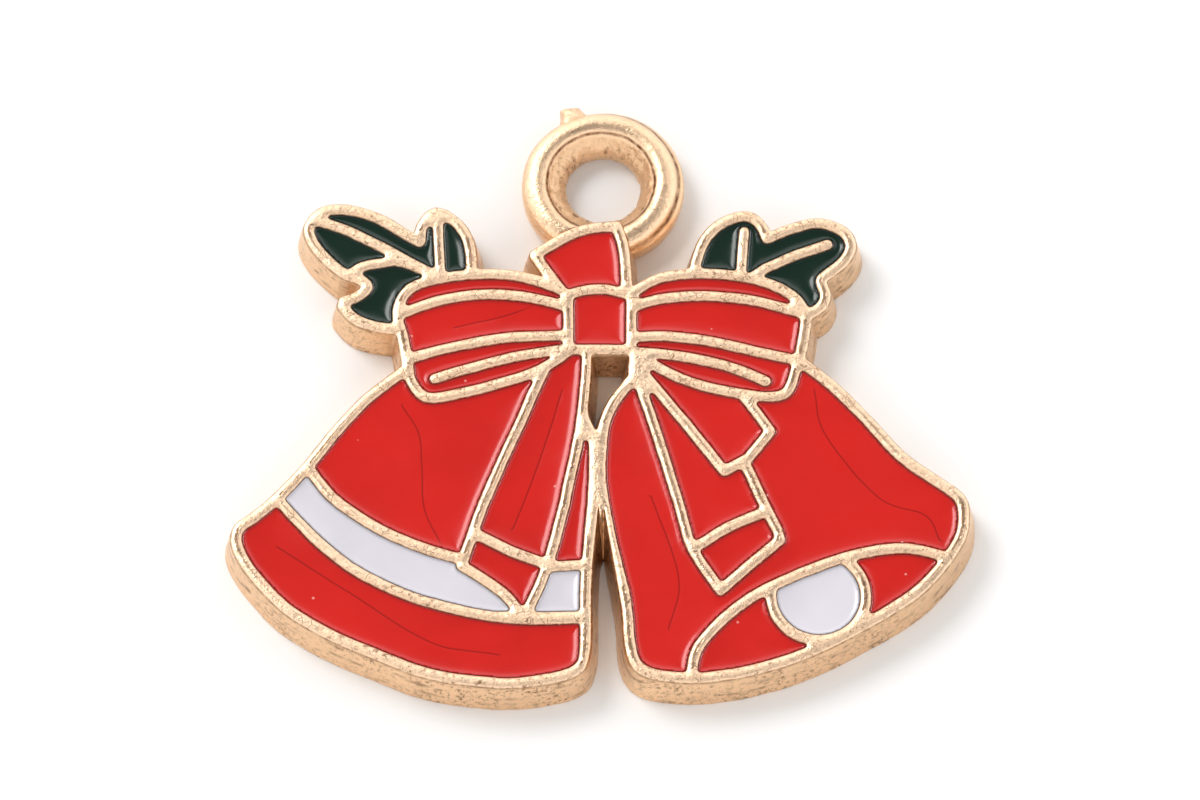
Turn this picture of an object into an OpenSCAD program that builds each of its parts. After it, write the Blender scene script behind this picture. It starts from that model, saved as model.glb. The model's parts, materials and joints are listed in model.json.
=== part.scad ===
// Flat enamelled charm: two bells under a bow with hanging ribbon tails, a holly leaf on
// each side and a hanging loop on top. One die-cast plate carries raised ridges, and each
// field between them is a shallow pocket filled with its own drop of coloured enamel.
// The charm lies on its back: the back is at z = 0 and the enamel faces +Z.

/* [Plate] */
// Width of the plate at its front face, from the left bell's corner to the right bell's
plate_w = 21.5; // [18:0.1:30]
// Height of the plate at its front face, from the left bell's foot to the leaf tips
plate_h = 15.4; // [13:0.1:22]
// Thickness of the plate
plate_t = 1.3; // [1.1:0.05:2.4]
// How far the back stands out beyond the front on each side, as mould draft
draft = 0.2; // [0.04:0.02:0.26]

/* [Ridges] */
// Width of the ridge between two fields
ridge_w = 0.36; // [0.26:0.02:0.44]
// Metal left outside the middle line of the outermost ridge
rim_w = 0.18; // [0.1:0.01:0.3]
// Radius in the corners of each field
field_corner_r = 0.05; // [0.02:0.01:0.08]

/* [Enamel] */
// Depth of the pockets below the ridge tops
pocket_depth = 0.45; // [0.25:0.05:0.7]
// How far the cured enamel stays below the ridge tops
enamel_recess = 0.1; // [0.05:0.01:0.2]

/* [Hanging loop] */
// Diameter of the bore that takes a jump ring
loop_bore_d = 2.2; // [1.2:0.1:3]
// Width of the metal round the bore
loop_band = 1.35; // [0.9:0.05:2]
// Width of the bevel at the front of the bore
loop_front_bevel = 0.5; // [0.1:0.05:0.6]
// Width of the bevel at the back of the bore
loop_back_bevel = 0.2; // [0.1:0.05:0.4]
// Radius on the loop's outer edges
loop_edge_r = 0.35; // [0.1:0.05:0.5]
// How far the loop's faces stay inside the plate's front and back
loop_setback = 0.08; // [0.04:0.02:0.16]
// Distance from the top of the knot's flap to the middle of the bore
loop_rise = 1.55; // [1.5:0.05:2.5]

/* [Casting gate] */
// Width of the stub left where the casting gate was snapped off
gate_w = 0.6; // [0.3:0.05:0.9]
// How far the stub stands out of the loop
gate_h = 0.3; // [0.1:0.05:0.4]

/* [Hidden] */

// The outlines are drawn 21.5 wide and 15.4 high, and stretched to the plate's size
DRAWN_W = 21.5;
DRAWN_H = 15.4;
fit = [plate_w / DRAWN_W, plate_h / DRAWN_H];
// Straight pieces in each span of a curve
SPAN_STEPS = 3;
// Longer than any outline, for half planes
FAR = 60;
// Layers that the draft of the side wall is stepped in
DRAFT_STEPS = 3;
// How far a cut runs past the face it starts from
CUT = 0.5;
// Direction of the casting gate from the bore, anticlockwise from +X
GATE_ANGLE = 112;

// Stretches the drawn points to the plate's size
function drawn(p) = [for (q = p) [q.x * fit.x, q.y * fit.y]];
function rev(p) = [for (i = [len(p) - 1 : -1 : 0]) p[i]];

// Point at t, from 0 to 1, between b and c on a Catmull-Rom curve: the tangent at each
// point runs along the line between its two neighbours
function between(a, b, c, d, t) =
  0.5 * (2 * b + (c - a) * t + (2 * a - 5 * b + 4 * c - d) * t * t
    + (3 * b - a - 3 * c + d) * t * t * t);

// Smooth open curve through the points p
function curve(p) =
  let (m = len(p) - 1)
  [
    for (i = [0 : m - 1])
      for (k = [0 : SPAN_STEPS - 1])
        between(p[max(i - 1, 0)], p[i], p[i + 1], p[min(i + 2, m)], k / SPAN_STEPS),
    p[m]
  ];

// Points on a circle about c from angle a to angle b
function arc(c, r, a, b, steps) =
  [for (i = [0 : steps]) c + r * [cos(a + (b - a) * i / steps), sin(a + (b - a) * i / steps)]];

// ---- Middle lines of the ridges ----

// Bow, left loop: over the top, round the left end and back along the bottom
BOW_LEFT = drawn(curve(
  [[-0.8, 3.1], [-1.4, 3.46], [-2.4, 3.8], [-3.6, 3.89], [-4.8, 3.76], [-5.7, 3.42],
    [-6.05, 2.7], [-5.9, 1.9], [-5.73, 1], [-5.62, 0.4], [-5.2, -0.1], [-4.4, -0.01],
    [-3.2, 0.3], [-2.1, 0.68], [-1.4, 1.1], [-0.8, 1.6]]));
// Ridge under the top edge of the left loop, from left to right
BOW_LEFT_LINE_1 = drawn(curve(
  [[-6.4, 2.35], [-5.6, 2.76], [-4.6, 3.1], [-3.3, 3.24], [-2, 3.11], [-0.8, 2.74]]));
// Ridge through the middle of the left loop
BOW_LEFT_LINE_2 = drawn(curve(
  [[-6.2, 0.98], [-5.2, 1.32], [-4, 1.62], [-2.6, 1.86], [-0.8, 1.9]]));
// Free-ended ridge of the left loop, from its tip into the knot
BOW_LEFT_FOLD = drawn(curve([[-4.95, 0.5], [-3.6, 0.94], [-2.2, 1.3], [-0.8, 1.5]]));

// Bow, right loop, from the knot over the top and back
BOW_RIGHT = drawn(curve(
  [[0.6, 3], [1.3, 3.58], [2.2, 3.86], [3.4, 3.9], [4.6, 3.68], [5.55, 3.22],
    [5.94, 2.6], [5.87, 1.7], [5.7, 0.95], [5.45, 0.15], [5, -0.07], [4.2, 0],
    [3, 0.25], [2, 0.66], [1.3, 1.1], [0.6, 1.6]]));
BOW_RIGHT_LINE_1 = drawn(curve(
  [[0.6, 2.72], [1.6, 3.06], [3, 3.19], [4.3, 3.05], [5.4, 2.77], [6.3, 2.45]]));
BOW_RIGHT_LINE_2 = drawn(curve(
  [[0.6, 1.83], [1.8, 1.88], [3.2, 1.71], [4.6, 1.35], [6.2, 1]]));
BOW_RIGHT_FOLD = drawn(curve([[4.78, 0.42], [3.6, 0.93], [2.2, 1.25], [0.6, 1.4]]));

// Knot, with an arched top, and the flap behind it
KNOT = drawn(concat(
  [[-1.02, 1.45]],
  curve([[-1.02, 3.23], [-0.5, 3.37], [0.1, 3.4], [0.83, 3.22]]),
  [[0.83, 1.45]]));
FLAP = drawn(concat(
  curve([[-1.02, 3.1], [-1.4, 3.6], [-2, 4.5]]),
  curve([[-2, 4.52], [-1.1, 5.1], [-0.4, 5.37], [0.4, 5.45]]),
  curve([[0.4, 5.43], [0.63, 4.6], [0.7, 3.1]])));

// Left leaf: up the left side, over the two upper lobes and down behind the bow
LEAF_LEFT = drawn(concat(
  curve([[-5.9, 2.1], [-6.7, 2.2], [-7.3, 2.45], [-7.65, 2.85]]),
  curve([[-7.62, 3.0], [-7.2, 3.17], [-6.93, 3.47], [-7.15, 3.72], [-7.65, 3.92],
    [-8.15, 4.38], [-8.55, 4.9], [-8.68, 5.4], [-8.3, 5.9], [-7.6, 5.98], [-6.7, 5.72],
    [-5.9, 5.22], [-5.42, 4.93]]),
  curve([[-5.38, 5], [-5.34, 5.45], [-4.95, 5.9], [-4.3, 5.5], [-3.95, 4.8], [-3.88, 3.7]]),
  [[-4.5, 3.2], [-5.5, 2.6]]));
// Long vein of the left leaf, its upright vein and the branch between the lower lobes
LEAF_LEFT_LONG_VEIN = drawn(curve(
  [[-9.2, 5.75], [-8.4, 5.6], [-7.5, 5.27], [-6.5, 4.75], [-5.6, 4.22], [-4.9, 3.82],
    [-4.2, 3.4]]));
LEAF_LEFT_UPRIGHT_VEIN = drawn(curve([[-4.72, 3], [-4.8, 4], [-4.86, 5], [-4.95, 6.4]]));
LEAF_LEFT_BRANCH = drawn(curve(
  [[-9.4, 2.9], [-7.62, 3.8], [-7.1, 4.13], [-6.5, 4.26], [-5.9, 4.28], [-4.4, 3.6]]));

// Right leaf, from the bow over both lobes and back to the bow
LEAF_RIGHT = drawn(concat(
  curve([[2.7, 3.4], [2.75, 4.2], [3.05, 5.05], [3.6, 5.6], [4.25, 5.78], [4.65, 5.5],
    [4.85, 5.06]]),
  curve([[4.95, 5.08], [5.6, 5.37], [6.4, 5.54], [7.1, 5.28], [7.33, 4.8], [7.1, 4.3],
    [6.6, 3.88], [6.42, 3.66], [6.55, 3.25], [6.42, 2.85], [5.9, 2.5]]),
  [[5.2, 2.9], [4, 3.3]]));
// Its two free-ended veins, from their tips down into the bow
LEAF_RIGHT_UPRIGHT_VEIN = drawn([[4.18, 5.28], [4.13, 4.6], [4.05, 3.6]]);
LEAF_RIGHT_LONG_VEIN = drawn([[6.65, 4.86], [5.7, 4.52], [4.8, 4.08], [4.3, 3.7]]);

// Left bell, from behind the bow down its left side, round the lip and up to the knot
BELL_LEFT = drawn(concat(
  curve([[-5.2, 1.4], [-5.9, 0.7], [-6.9, -0.14], [-7.8, -1.18], [-8.7, -2.42],
    [-9.6, -3.42], [-10.2, -3.95], [-10.62, -4.3], [-10.62, -4.9], [-10.1, -5.78],
    [-9.2, -6.76], [-8, -7.56], [-6.6, -8.2], [-5, -8.84], [-3, -9.12], [-1.5, -8.97],
    [-0.7, -8.65], [-0.52, -8], [-0.52, -6.2], [-0.38, -4.2], [-0.26, -2.6],
    [-0.3, -1.2]]),
  [[-0.45, 0], [-0.48, 2], [-3, 2.5]]));
// Upper and lower ridges of its band
BAND_UPPER_LINE = drawn(curve(
  [[-10.4, 0.6], [-8.35, -2.72], [-7.3, -3.77], [-6, -4.56], [-4.5, -5.12], [-2.6, -5.5],
    [0.2, -5.35]]));
BAND_LOWER_LINE = drawn(curve(
  [[-11.4, 0.6], [-9.95, -2.6], [-9.2, -3.68], [-8.2, -4.78], [-6.9, -5.78],
    [-5.2, -6.56], [-3.2, -7.05], [-1.6, -7.13], [0.2, -7.05]]));

// Left ribbon tail: its left edge, the slanted foot, and its right edge back up
TAIL_LEFT_EDGE = drawn(curve(
  [[-1.2, 2], [-1.72, 0.8], [-2.5, -1.05], [-3.25, -2.9], [-3.8, -4.4], [-4.1, -5.45]]));
TAIL_RIGHT_EDGE = drawn(curve(
  [[-0.46, 2], [-0.5, 0.6], [-0.68, -1.1], [-1.05, -3.1], [-1.6, -5.4], [-2.27, -7.05]]));
TAIL_LEFT = concat(
  TAIL_LEFT_EDGE,
  drawn(curve([[-4.02, -5.5], [-3.4, -5.92], [-2.8, -6.42], [-2.35, -7.02]])),
  rev(TAIL_RIGHT_EDGE));
TAIL_LEFT_CROSS = drawn([[-4.6, -3.95], [-3.75, -4.42], [-2.65, -5], [-1.65, -5.4], [0.4, -6]]);

// Right bell, from the knot down its left side, round the lip and up to the bow
BELL_RIGHT = drawn(concat(
  curve([[0.95, 2], [0.86, 0.6], [0.35, -0.22], [0.03, -1], [-0.07, -2.3], [0.02, -3.45],
    [0.3, -4.9], [0.66, -6.5], [0.79, -7.9], [1.02, -8.6], [1.7, -8.9], [3, -8.94],
    [4.4, -8.7], [6, -8.13], [7.6, -7.27], [9, -6.36], [9.8, -5.5], [10.35, -4.65],
    [10.5, -3.95], [10.38, -3.3], [9.7, -2.75], [8.7, -1.98], [7.7, -0.78], [6.8, 0.2],
    [5.9, 0.98], [5.2, 1.5]]),
  [[3, 2.5]]));
// Ridge along the top of the mouth
MOUTH_LINE = drawn(curve(
  [[2.52, -9.4], [2.62, -8.4], [2.95, -7.72], [3.9, -6.75], [5.2, -5.94], [7, -5.2],
    [8.5, -4.9], [9.5, -5.02], [10.3, -5.3], [11, -5.7]]));
// Round clapper, cut off by the mouth's upper ridge
CLAPPER_AT = [6.26, -6.4];
CLAPPER_R = 1.38;
CLAPPER = drawn(arc(CLAPPER_AT, CLAPPER_R, 0, 350, 35));

// Long ribbon tail on the right bell, with its slanted foot
TAIL_LONG = drawn(concat(
  curve([[0.8, 1.6], [1.04, 0.5], [1.6, -1.35], [2.27, -3.7], [2.62, -4.95],
    [3.42, -6.22]]),
  [[4.25, -5.45], [5.16, -4.62]],
  curve([[5.1, -4.35], [4.75, -3.6], [4.1, -2.1]]),
  [[3, -1], [1.8, 0.7], [1.5, 1.6]]));
TAIL_LONG_CROSS = drawn(curve([[0.4, -6], [2.6, -4.92], [3.6, -4.26], [4.8, -3.72],
  [6, -3.3]]));
// Short ribbon tail in front of the long one
TAIL_SHORT = drawn([[0.9, 1.06], [2.4, -0.9], [3.55, -2.45], [4.25, -2.02], [4.9, -1.17],
  [4.1, 0], [3.9, 1], [2, 1.6]]);

// Openings through the plate, as the edges of the metal at the front face: the gap below
// the knot, and the slit between the bells, which runs out past their feet
GAP = drawn(concat(
  [[0.7, 1.28], [-0.33, 1.28]],
  curve([[-0.33, 0.9], [-0.38, 0], [-0.42, -0.6], [-0.22, -1.15]]),
  curve([[-0.16, -1.1], [0.02, -0.45], [0.4, 0.22], [0.73, 0.62]])));
SLIT = drawn(concat(
  curve([[-0.02, -3.6], [-0.14, -4.4], [-0.3, -5.8], [-0.34, -7.2], [-0.35, -8.1],
    [-0.6, -8.9], [-1.4, -9.9]]),
  curve([[1.8, -9.9], [0.8, -8.75], [0.6, -7.9], [0.53, -6.8], [0.22, -4.9],
    [0.02, -3.6]])));

// ---- Sizes that follow ----

pocket_floor = plate_t - pocket_depth;
enamel_t = pocket_depth - enamel_recess;
loop_bore_r = loop_bore_d / 2;
loop_r = loop_bore_r + loop_band;
loop_front = plate_t - loop_setback;
// Length of the bore's straight wall between its two bevels
loop_land = loop_front - loop_setback - loop_front_bevel - loop_back_bevel;
flap_top = max([for (p = FLAP) p.y]);
loop_at = [0, flap_top + loop_rise];

// The plate is centred over the origin by its own extent at the back
SILHOUETTE = concat(LEAF_LEFT, BELL_LEFT, BELL_RIGHT, LEAF_RIGHT);
left_x = min([for (p = SILHOUETTE) p.x]) - rim_w - draft;
right_x = max([for (p = SILHOUETTE) p.x]) + rim_w + draft;
foot_y = min([for (p = SILHOUETTE) p.y]) - rim_w - draft;
gate_top = (loop_r + gate_h) * sin(GATE_ANGLE) - gate_w / 2 * cos(GATE_ANGLE);
top_y = loop_at.y + max(loop_r, gate_top);
centre = [(left_x + right_x) / 2, (foot_y + top_y) / 2];

// ---- Helpers ----

// Everything above or below a curve that runs from left to right
module above(c) polygon(concat(c, [[c[len(c) - 1].x, FAR], [c[0].x, FAR]]));
module below(c) polygon(concat(c, [[c[len(c) - 1].x, -FAR], [c[0].x, -FAR]]));
// Everything left or right of a curve that runs up or down
module left_of(c) polygon(concat(c, [[-FAR, c[len(c) - 1].y], [-FAR, c[0].y]]));
module right_of(c) polygon(concat(c, [[FAR, c[len(c) - 1].y], [FAR, c[0].y]]));

// Left-hand normal of path p at its point i
function normal(p, i) =
  let (d = p[min(i + 1, len(p) - 1)] - p[max(i - 1, 0)])
  [-d.y, d.x] / norm(d);

// Ridge along the open path p, with a round end at its first point
module free_ridge(p)
{
  side = [for (i = [0 : len(p) - 1]) normal(p, i) * ridge_w / 2];
  out = atan2(p[0].y - p[1].y, p[0].x - p[1].x);
  polygon(concat(
    [for (i = [0 : len(p) - 1]) p[i] + side[i]],
    [for (i = [len(p) - 1 : -1 : 0]) p[i] - side[i]],
    arc(p[0], ridge_w / 2, out + 75, out - 75, 10)));
}

// A field: what is left of a region inside the ridges that bound it
module field() offset(r = field_corner_r, $fn = 12)
  offset(r = -ridge_w / 2 - field_corner_r, $fn = 16) children();

// The enamel in one field
module enamel(colour) color(colour)
  translate([-centre.x, -centre.y, pocket_floor]) linear_extrude(enamel_t) children();
RED = "crimson";
GREEN = "darkgreen";
WHITE = "whitesmoke";
GOLD = "wheat";

// ---- Regions, each without what lies in front of it ----

module front_of_bells()
{
  polygon(KNOT);
  polygon(BOW_LEFT);
  polygon(BOW_RIGHT);
}
module bow_left() difference() { polygon(BOW_LEFT); polygon(KNOT); }
module bow_right() difference() { polygon(BOW_RIGHT); polygon(KNOT); }
module leaf_left() difference() { polygon(LEAF_LEFT); polygon(BOW_LEFT); }
module bell_left() difference() { polygon(BELL_LEFT); front_of_bells(); }
module bell_right() difference() { polygon(BELL_RIGHT); front_of_bells(); }
module tail_left() difference() { polygon(TAIL_LEFT); front_of_bells(); }
module tail_short() difference() { polygon(TAIL_SHORT); front_of_bells(); }
module tail_long()
  difference() { polygon(TAIL_LONG); polygon(TAIL_SHORT); front_of_bells(); }
module mouth() intersection() { polygon(BELL_RIGHT); below(MOUTH_LINE); }

// ---- Fields, one for each drop of enamel ----

module f_leaf_left_upper() field() intersection()
{
  leaf_left();
  above(LEAF_LEFT_LONG_VEIN);
  left_of(LEAF_LEFT_UPRIGHT_VEIN);
}
module f_leaf_left_side() field() intersection()
{
  leaf_left();
  below(LEAF_LEFT_LONG_VEIN);
  above(LEAF_LEFT_BRANCH);
}
module f_leaf_left_lower() field() intersection()
{
  leaf_left();
  below(LEAF_LEFT_LONG_VEIN);
  below(LEAF_LEFT_BRANCH);
}
module f_leaf_left_inner() field() intersection()
{
  leaf_left();
  right_of(LEAF_LEFT_UPRIGHT_VEIN);
}
module f_leaf_right() difference()
{
  field() difference() { polygon(LEAF_RIGHT); polygon(BOW_RIGHT); }
  free_ridge(LEAF_RIGHT_UPRIGHT_VEIN);
  free_ridge(LEAF_RIGHT_LONG_VEIN);
}

module f_bow_left_edge() field() intersection() { bow_left(); above(BOW_LEFT_LINE_1); }
module f_bow_left_stripe() field() intersection()
{
  bow_left();
  below(BOW_LEFT_LINE_1);
  above(BOW_LEFT_LINE_2);
}
module f_bow_left_fold() difference()
{
  field() intersection() { bow_left(); below(BOW_LEFT_LINE_2); }
  free_ridge(BOW_LEFT_FOLD);
}
module f_bow_right_edge() field() intersection() { bow_right(); above(BOW_RIGHT_LINE_1); }
module f_bow_right_stripe() field() intersection()
{
  bow_right();
  below(BOW_RIGHT_LINE_1);
  above(BOW_RIGHT_LINE_2);
}
module f_bow_right_fold() difference()
{
  field() intersection() { bow_right(); below(BOW_RIGHT_LINE_2); }
  free_ridge(BOW_RIGHT_FOLD);
}
module f_knot() field() polygon(KNOT);
module f_knot_flap() field() difference() { polygon(FLAP); polygon(KNOT); }

module f_bell_left_body() field() difference()
{
  intersection() { bell_left(); above(BAND_UPPER_LINE); left_of(TAIL_RIGHT_EDGE); }
  polygon(TAIL_LEFT);
}
module f_bell_left_strip() field() intersection()
{
  bell_left();
  above(BAND_UPPER_LINE);
  right_of(TAIL_RIGHT_EDGE);
}
module f_bell_left_band() field() difference()
{
  intersection()
  {
    bell_left();
    below(BAND_UPPER_LINE);
    above(BAND_LOWER_LINE);
    left_of(TAIL_RIGHT_EDGE);
  }
  polygon(TAIL_LEFT);
}
module f_bell_left_band_end() field() intersection()
{
  bell_left();
  below(BAND_UPPER_LINE);
  above(BAND_LOWER_LINE);
  right_of(TAIL_RIGHT_EDGE);
}
module f_bell_left_rim() field() intersection() { bell_left(); below(BAND_LOWER_LINE); }
module f_tail_left_main() field() intersection() { tail_left(); above(TAIL_LEFT_CROSS); }
module f_tail_left_end() field() intersection() { tail_left(); below(TAIL_LEFT_CROSS); }

module f_bell_right_body() field() difference()
{
  bell_right();
  below(MOUTH_LINE);
  polygon(TAIL_LONG);
  polygon(TAIL_SHORT);
}
module f_mouth_left() field() difference()
{
  mouth();
  polygon(CLAPPER);
  right_of(drawn([[CLAPPER_AT.x, -FAR], [CLAPPER_AT.x, FAR]]));
}
module f_mouth_right() field() difference()
{
  mouth();
  polygon(CLAPPER);
  left_of(drawn([[CLAPPER_AT.x, -FAR], [CLAPPER_AT.x, FAR]]));
}
module f_clapper() field() intersection() { mouth(); polygon(CLAPPER); }
module f_tail_long_main() field() intersection() { tail_long(); above(TAIL_LONG_CROSS); }
module f_tail_long_end() field() intersection() { tail_long(); below(TAIL_LONG_CROSS); }
module f_tail_short() field() tail_short();

// ---- Casting ----

module all_fields()
{
  f_leaf_left_upper();
  f_leaf_left_side();
  f_leaf_left_lower();
  f_leaf_left_inner();
  f_leaf_right();
  f_bow_left_edge();
  f_bow_left_stripe();
  f_bow_left_fold();
  f_bow_right_edge();
  f_bow_right_stripe();
  f_bow_right_fold();
  f_knot();
  f_knot_flap();
  f_bell_left_body();
  f_bell_left_strip();
  f_bell_left_band();
  f_bell_left_band_end();
  f_bell_left_rim();
  f_tail_left_main();
  f_tail_left_end();
  f_bell_right_body();
  f_mouth_left();
  f_mouth_right();
  f_clapper();
  f_tail_long_main();
  f_tail_long_end();
  f_tail_short();
}

// Outline of the plate, grown by d beyond the front face
module outline(d) difference()
{
  offset(r = rim_w + d, $fn = 20)
  {
    polygon(LEAF_LEFT);
    polygon(LEAF_RIGHT);
    polygon(BOW_LEFT);
    polygon(BOW_RIGHT);
    polygon(KNOT);
    polygon(FLAP);
    polygon(BELL_LEFT);
    polygon(BELL_RIGHT);
  }
  offset(delta = -d)
  {
    polygon(GAP);
    polygon(SLIT);
  }
}

// The plate without its pockets: the taller a layer, the less it stands out
module plate() for (i = [1 : DRAFT_STEPS])
  linear_extrude(plate_t * i / DRAFT_STEPS)
  outline(draft * (DRAFT_STEPS - i) / (DRAFT_STEPS - 1));

// The loop before it is bored, with bevels round the bore and rounded outer edges
module loop_ring() translate([loop_at.x, loop_at.y, loop_setback])
  rotate_extrude($fn = 96) polygon(concat(
    [[loop_bore_r, loop_back_bevel], [loop_bore_r, loop_back_bevel + loop_land],
      [loop_bore_r + loop_front_bevel, loop_front - loop_setback]],
    arc([loop_r - loop_edge_r, loop_front - loop_setback - loop_edge_r], loop_edge_r, 90, 0, 6),
    arc([loop_r - loop_edge_r, loop_edge_r], loop_edge_r, 0, -90, 6),
    [[loop_bore_r + loop_back_bevel, 0]]));

// Stub of the casting gate, sunk half way into the loop's band
module gate_stub() translate(loop_at) rotate(GATE_ANGLE)
  translate([loop_r - loop_band / 2, -gate_w / 2, plate_t / 4])
  cube([loop_band / 2 + gate_h, gate_w, plate_t / 2]);

module casting() color(GOLD) translate([-centre.x, -centre.y, 0]) difference()
{
  union()
  {
    plate();
    loop_ring();
    gate_stub();
  }
  translate([0, 0, pocket_floor]) linear_extrude(pocket_depth + CUT) all_fields();
  translate([loop_at.x, loop_at.y, -CUT])
    cylinder(r = loop_bore_r, h = plate_t + 2 * CUT, $fn = 96);
}

module green_leaf_left_upper() enamel(GREEN) f_leaf_left_upper();
module green_leaf_left_side() enamel(GREEN) f_leaf_left_side();
module green_leaf_left_lower() enamel(GREEN) f_leaf_left_lower();
module green_leaf_left_inner() enamel(GREEN) f_leaf_left_inner();
module green_leaf_right() enamel(GREEN) f_leaf_right();
module red_bow_left_edge() enamel(RED) f_bow_left_edge();
module red_bow_left_stripe() enamel(RED) f_bow_left_stripe();
module red_bow_left_fold() enamel(RED) f_bow_left_fold();
module red_bow_right_edge() enamel(RED) f_bow_right_edge();
module red_bow_right_stripe() enamel(RED) f_bow_right_stripe();
module red_bow_right_fold() enamel(RED) f_bow_right_fold();
module red_knot() enamel(RED) f_knot();
module red_knot_flap() enamel(RED) f_knot_flap();
module red_bell_left_body() enamel(RED) f_bell_left_body();
module red_bell_left_strip() enamel(RED) f_bell_left_strip();
module red_bell_left_rim() enamel(RED) f_bell_left_rim();
module white_bell_left_band() enamel(WHITE) f_bell_left_band();
module white_bell_left_band_end() enamel(WHITE) f_bell_left_band_end();
module red_tail_left_main() enamel(RED) f_tail_left_main();
module red_tail_left_end() enamel(RED) f_tail_left_end();
module red_bell_right_body() enamel(RED) f_bell_right_body();
module red_mouth_left() enamel(RED) f_mouth_left();
module red_mouth_right() enamel(RED) f_mouth_right();
module white_clapper() enamel(WHITE) f_clapper();
module red_tail_long_main() enamel(RED) f_tail_long_main();
module red_tail_long_end() enamel(RED) f_tail_long_end();
module red_tail_short() enamel(RED) f_tail_short();

casting();
green_leaf_left_upper();
green_leaf_left_side();
green_leaf_left_lower();
green_leaf_left_inner();
green_leaf_right();
red_bow_left_edge();
red_bow_left_stripe();
red_bow_left_fold();
red_bow_right_edge();
red_bow_right_stripe();
red_bow_right_fold();
red_knot();
red_knot_flap();
red_bell_left_body();
red_bell_left_strip();
red_bell_left_rim();
white_bell_left_band();
white_bell_left_band_end();
red_tail_left_main();
red_tail_left_end();
red_bell_right_body();
red_mouth_left();
red_mouth_right();
white_clapper();
red_tail_long_main();
red_tail_long_end();
red_tail_short();
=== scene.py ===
"""Looks for a flat enamelled charm of two bells under a bow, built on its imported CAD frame."""

import json
import math

import bpy
import numpy as np
from bpy.props import FloatProperty, FloatVectorProperty, PointerProperty
from bpy.types import Operator, Panel, PropertyGroup
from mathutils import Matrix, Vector
from mathutils.geometry import delaunay_2d_cdt


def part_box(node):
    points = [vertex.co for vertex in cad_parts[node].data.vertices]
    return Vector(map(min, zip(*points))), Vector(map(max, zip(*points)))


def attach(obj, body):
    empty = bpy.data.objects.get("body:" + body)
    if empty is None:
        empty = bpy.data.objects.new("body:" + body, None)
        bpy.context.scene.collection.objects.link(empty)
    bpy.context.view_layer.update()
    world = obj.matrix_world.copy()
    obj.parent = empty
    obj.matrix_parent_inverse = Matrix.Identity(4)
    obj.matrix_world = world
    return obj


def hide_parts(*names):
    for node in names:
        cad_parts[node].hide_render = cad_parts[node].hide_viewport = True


bl_info = {
    "name": "Bell charm",
    "version": (1, 0, 0),
    "blender": (4, 5, 0),
    "location": "3D View > Sidebar > Bell charm",
    "description": "Builds a soft-enamel bell charm with its hanging loop",
    "category": "Add Mesh",
}

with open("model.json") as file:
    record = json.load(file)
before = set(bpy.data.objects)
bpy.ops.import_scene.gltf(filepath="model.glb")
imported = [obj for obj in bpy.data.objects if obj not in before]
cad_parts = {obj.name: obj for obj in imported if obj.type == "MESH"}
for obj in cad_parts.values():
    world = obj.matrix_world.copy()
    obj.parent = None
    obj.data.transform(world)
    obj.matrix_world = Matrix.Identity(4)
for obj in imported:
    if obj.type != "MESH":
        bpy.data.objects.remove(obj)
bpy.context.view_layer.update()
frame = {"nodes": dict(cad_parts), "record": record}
MM = 0.001
# The hole of the hanging loop, and the heights of the plate and of its enamel
HOLE = next(m for m in frame["record"]["mounts"] if m["name"] == "hang_hole")
LOOP_AT = np.array(HOLE["pos_m"][:2]) / MM
HOLE_R = HOLE["dims"]["r_mm"]
PLATE_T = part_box("casting")[1].z / MM
FLOOR_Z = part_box("red_knot")[0].z / MM
FILL_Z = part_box("red_knot")[1].z / MM
# How far a ridge's middle stands above its shoulders, and how far the middle line is
# from the pocket's edge and from the shoulder's inner edge
CROWN = 0.024
HALF_RIDGE = 0.18
RIM_TO_CREST = 0.095
# Direction of the snapped gate on the loop, in degrees from +X
GATE_ANGLE = 112
# What the plating reads at each point: how dark it is, which is painted shade along pocket edges,
# in narrow gaps and at the wall's top edge and foot, and also dark streaks, pits and creases; the
# middle line of a ridge, which carries a painted dark line; share of side wall; and how much the
# surface was brushed across
METAL_VALUES = ("crease", "crest", "side", "brushed")


# ---- Settings ----


class CharmPlateSettings(PropertyGroup):
    """Sizes and colours of the cast plate."""

    shoulder: FloatProperty(
        name="Ridge shoulder",
        description="Width of the rounding on each side of a ridge",
        default=0.085 * MM,
        min=0.03 * MM,
        max=0.1 * MM,
        unit="LENGTH",
        precision=6,
    )
    edge_round: FloatProperty(
        name="Edge rounding",
        description="Rounding where the ridges turn down into the side wall",
        default=0.09 * MM,
        min=0.03 * MM,
        max=0.1 * MM,
        unit="LENGTH",
        precision=6,
    )
    grain: FloatProperty(
        name="Grain height",
        description="Height of the polishing grain on the ridges",
        default=0.01 * MM,
        min=0.0,
        max=0.03 * MM,
        unit="LENGTH",
        precision=6,
    )
    strata: FloatProperty(
        name="Wall streaks",
        description="Depth of the flow streaks along the side wall",
        default=0.016 * MM,
        min=0.0,
        max=0.04 * MM,
        unit="LENGTH",
        precision=6,
    )
    bright: FloatVectorProperty(
        name="Burnished gold",
        description="Colour of the plating on the ridge tops",
        default=(0.99, 0.72, 0.50),
        size=3,
        min=0.0,
        max=1.0,
        subtype="COLOR",
    )
    side: FloatVectorProperty(
        name="Plain gold",
        description="Colour of the plating on the side wall",
        default=(0.88, 0.60, 0.37),
        size=3,
        min=0.0,
        max=1.0,
        subtype="COLOR",
    )
    # The patina colour also paints the shade along pocket edges, in narrow gaps and at the wall's
    # edges, and the dark line on upright ridge crests.
    patina_and_shade: FloatVectorProperty(
        name="Patina",
        description="Colour of the plating in pits and along creases",
        default=(0.16, 0.065, 0.025),
        size=3,
        min=0.0,
        max=1.0,
        subtype="COLOR",
    )


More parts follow.
